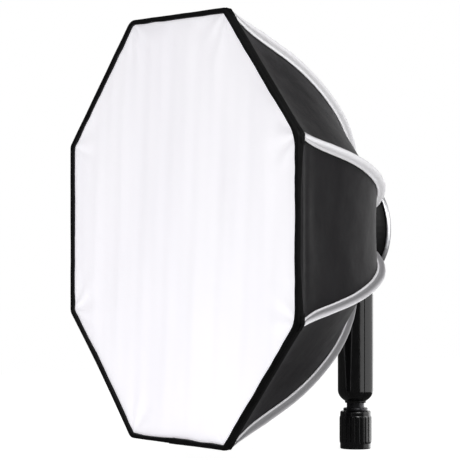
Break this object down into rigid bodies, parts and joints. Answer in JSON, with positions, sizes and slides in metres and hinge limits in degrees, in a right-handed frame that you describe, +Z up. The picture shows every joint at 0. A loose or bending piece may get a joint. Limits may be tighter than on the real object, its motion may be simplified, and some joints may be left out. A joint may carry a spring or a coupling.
{
  "type": "studio softbox",
  "caption": "Folding octagonal softbox on a tilting hand grip: dark fabric shell on sprung ribs, white front diffuser, open hub for a lamp and a stand socket with lock knob.",
  "frame": {"origin": "centre of the stand socket's mouth, at the bottom of the lock knob", "axes": "+Z up along the grip, -Y towards the lit side (the diffuser faces -Y), +X to the right of someone standing behind the softbox"},
  "size_m": [0.508, 0.2839, 0.5263],
  "materials": {
    "grip_plastic": "gloss",
    "knob_plastic": "gloss",
    "dark_alloy": "satin",
    "steel": "satin",
    "hub_plastic": "matte",
    "rim_alloy": "satin",
    "sleeve_fabric": "matte",
    "shell_fabric": "satin weave",
    "diffuser_fabric": "matte"
  },
  "bodies": {
    "grip": {"grip_front_shell": "grip_plastic", "grip_rear_shell": "grip_plastic", "collet_tube": "dark_alloy", "thrust_washer": "dark_alloy", "tilt_yoke": "dark_alloy", "tilt_pivot_bolt": "steel", "grip_screw_1": "steel", "grip_screw_2": "steel"},
    "lock_knob": {"lock_knob": "knob_plastic"},
    "tilt_lever": {"tilt_lever": "knob_plastic"},
    "head": {"hub_front_ring": "hub_plastic", "hub_rear_ring": "hub_plastic", "hub_rear_flange": "rim_alloy", "hub_screw_1": "steel", "hub_screw_2": "steel", "hub_screw_3": "steel", "hub_screw_4": "steel", "rib_pivot_wire": "steel"},
    "slider": {"slider_ring": "hub_plastic"},
    "rib_1": {"rib_rod_1": "steel", "rib_knuckle_1": "hub_plastic", "rib_sleeve_1": "sleeve_fabric", "shell_panel_1": "shell_fabric"},
    "diffuser_1": {"diffuser_sector_1": "diffuser_fabric"},
    "rib_2": {"rib_rod_2": "steel", "rib_knuckle_2": "hub_plastic", "rib_sleeve_2": "sleeve_fabric", "shell_panel_2": "shell_fabric"},
    "diffuser_2": {"diffuser_sector_2": "diffuser_fabric"},
    "rib_3": {"rib_rod_3": "steel", "rib_knuckle_3": "hub_plastic", "rib_sleeve_3": "sleeve_fabric", "shell_panel_3": "shell_fabric"},
    "diffuser_3": {"diffuser_sector_3": "diffuser_fabric"},
    "rib_4": {"rib_rod_4": "steel", "rib_knuckle_4": "hub_plastic", "rib_sleeve_4": "sleeve_fabric", "shell_panel_4": "shell_fabric"},
    "diffuser_4": {"diffuser_sector_4": "diffuser_fabric"},
    "rib_5": {"rib_rod_5": "steel", "rib_knuckle_5": "hub_plastic", "rib_sleeve_5": "sleeve_fabric", "shell_panel_5": "shell_fabric"},
    "diffuser_5": {"diffuser_sector_5": "diffuser_fabric"},
    "rib_6": {"rib_rod_6": "steel", "rib_knuckle_6": "hub_plastic", "rib_sleeve_6": "sleeve_fabric", "shell_panel_6": "shell_fabric"},
    "diffuser_6": {"diffuser_sector_6": "diffuser_fabric"},
    "rib_7": {"rib_rod_7": "steel", "rib_knuckle_7": "hub_plastic", "rib_sleeve_7": "sleeve_fabric", "shell_panel_7": "shell_fabric"},
    "diffuser_7": {"diffuser_sector_7": "diffuser_fabric"},
    "rib_8": {"rib_rod_8": "steel", "rib_knuckle_8": "hub_plastic", "rib_sleeve_8": "sleeve_fabric", "shell_panel_8": "shell_fabric"},
    "diffuser_8": {"diffuser_sector_8": "diffuser_fabric"}
  },
  "joints": [
    {"name": "lock_knob_turn", "type": "hinge", "parent": "grip", "child": "lock_knob", "pos_m": [0, 0, 0.02], "axis": [0, 0, 1], "range_deg": [0, 180]},
    {"name": "tilt_lever_swing", "type": "hinge", "parent": "grip", "child": "tilt_lever", "pos_m": [-0.018, 0, 0.204], "axis": [1, 0, 0], "range_deg": [0, 60]},
    {"name": "head_tilt", "type": "hinge", "parent": "grip", "child": "head", "pos_m": [0, 0, 0.204], "axis": [1, 0, 0], "range_deg": [-30, 15]},
    {"name": "rib_1_fold", "type": "hinge", "parent": "head", "child": "rib_1", "pos_m": [0.05035, -0.0175, 0.29316], "axis": [0.3827, 0, -0.9239], "range_deg": [0, 42], "deforming": ["shell_panel_1"]},
    {"name": "diffuser_1_fold", "type": "hinge", "parent": "rib_1", "child": "diffuser_1", "pos_m": [0.24529, -0.2585, 0.3739], "axis": [0.3827, 0, -0.9239], "range_deg": [0, 42.5], "deforming": ["diffuser_sector_1"]},
    {"name": "rib_2_fold", "type": "hinge", "parent": "head", "child": "rib_2", "pos_m": [0.02086, -0.0175, 0.32265], "axis": [0.9239, 0, -0.3827], "range_deg": [0, 42], "deforming": ["shell_panel_2"]},
    {"name": "diffuser_2_fold", "type": "hinge", "parent": "rib_2", "child": "diffuser_2", "pos_m": [0.1016, -0.2585, 0.51759], "axis": [0.9239, 0, -0.3827], "range_deg": [0, 42.5], "deforming": ["diffuser_sector_2"]},
    {"name": "rib_3_fold", "type": "hinge", "parent": "head", "child": "rib_3", "pos_m": [-0.02086, -0.0175, 0.32265], "axis": [0.9239, 0, 0.3827], "range_deg": [0, 42], "deforming": ["shell_panel_3"]},
    {"name": "diffuser_3_fold", "type": "hinge", "parent": "rib_3", "child": "diffuser_3", "pos_m": [-0.1016, -0.2585, 0.51759], "axis": [0.9239, 0, 0.3827], "range_deg": [0, 42.5], "deforming": ["diffuser_sector_3"]},
    {"name": "rib_4_fold", "type": "hinge", "parent": "head", "child": "rib_4", "pos_m": [-0.05035, -0.0175, 0.29316], "axis": [0.3827, 0, 0.9239], "range_deg": [0, 42], "deforming": ["shell_panel_4"]},
    {"name": "diffuser_4_fold", "type": "hinge", "parent": "rib_4", "child": "diffuser_4", "pos_m": [-0.24529, -0.2585, 0.3739], "axis": [0.3827, 0, 0.9239], "range_deg": [0, 42.5], "deforming": ["diffuser_sector_4"]},
    {"name": "rib_5_fold", "type": "hinge", "parent": "head", "child": "rib_5", "pos_m": [-0.05035, -0.0175, 0.25144], "axis": [-0.3827, 0, 0.9239], "range_deg": [0, 42], "deforming": ["shell_panel_5"]},
    {"name": "diffuser_5_fold", "type": "hinge", "parent": "rib_5", "child": "diffuser_5", "pos_m": [-0.24529, -0.2585, 0.1707], "axis": [-0.3827, 0, 0.9239], "range_deg": [0, 42.5], "deforming": ["diffuser_sector_5"]},
    {"name": "rib_6_fold", "type": "hinge", "parent": "head", "child": "rib_6", "pos_m": [-0.02086, -0.0175, 0.22195], "axis": [-0.9239, 0, 0.3827], "range_deg": [0, 42], "deforming": ["shell_panel_6"]},
    {"name": "diffuser_6_fold", "type": "hinge", "parent": "rib_6", "child": "diffuser_6", "pos_m": [-0.1016, -0.2585, 0.02701], "axis": [-0.9239, 0, 0.3827], "range_deg": [0, 42.5], "deforming": ["diffuser_sector_6"]},
    {"name": "rib_7_fold", "type": "hinge", "parent": "head", "child": "rib_7", "pos_m": [0.02086, -0.0175, 0.22195], "axis": [-0.9239, 0, -0.3827], "range_deg": [0, 42], "deforming": ["shell_panel_7"]},
    {"name": "diffuser_7_fold", "type": "hinge", "parent": "rib_7", "child": "diffuser_7", "pos_m": [0.1016, -0.2585, 0.02701], "axis": [-0.9239, 0, -0.3827], "range_deg": [0, 42.5], "deforming": ["diffuser_sector_7"]},
    {"name": "rib_8_fold", "type": "hinge", "parent": "head", "child": "rib_8", "pos_m": [0.05035, -0.0175, 0.25144], "axis": [-0.3827, 0, -0.9239], "range_deg": [0, 42], "deforming": ["shell_panel_8"]},
    {"name": "diffuser_8_fold", "type": "hinge", "parent": "rib_8", "child": "diffuser_8", "pos_m": [0.24529, -0.2585, 0.1707], "axis": [-0.3827, 0, -0.9239], "range_deg": [0, 42.5], "deforming": ["diffuser_sector_8"]},
    {"name": "slider_travel", "type": "slide", "parent": "head", "child": "slider", "axis": [0, 1, 0], "range_m": [0, 0.0082]}
  ],
  "couplings": [
    {"joint": "rib_2_fold", "follows": "rib_1_fold", "ratio": 1},
    {"joint": "rib_3_fold", "follows": "rib_1_fold", "ratio": 1},
    {"joint": "rib_4_fold", "follows": "rib_1_fold", "ratio": 1},
    {"joint": "rib_5_fold", "follows": "rib_1_fold", "ratio": 1},
    {"joint": "rib_6_fold", "follows": "rib_1_fold", "ratio": 1},
    {"joint": "rib_7_fold", "follows": "rib_1_fold", "ratio": 1},
    {"joint": "rib_8_fold", "follows": "rib_1_fold", "ratio": 1},
    {"joint": "diffuser_1_fold", "follows": "rib_1_fold", "ratio": 1},
    {"joint": "diffuser_2_fold", "follows": "rib_1_fold", "ratio": 1},
    {"joint": "diffuser_3_fold", "follows": "rib_1_fold", "ratio": 1},
    {"joint": "diffuser_4_fold", "follows": "rib_1_fold", "ratio": 1},
    {"joint": "diffuser_5_fold", "follows": "rib_1_fold", "ratio": 1},
    {"joint": "diffuser_6_fold", "follows": "rib_1_fold", "ratio": 1},
    {"joint": "diffuser_7_fold", "follows": "rib_1_fold", "ratio": 1},
    {"joint": "diffuser_8_fold", "follows": "rib_1_fold", "ratio": 1},
    {"joint": "slider_travel", "follows": "rib_1_fold", "m_per_rad": 0.01075}
  ]
}
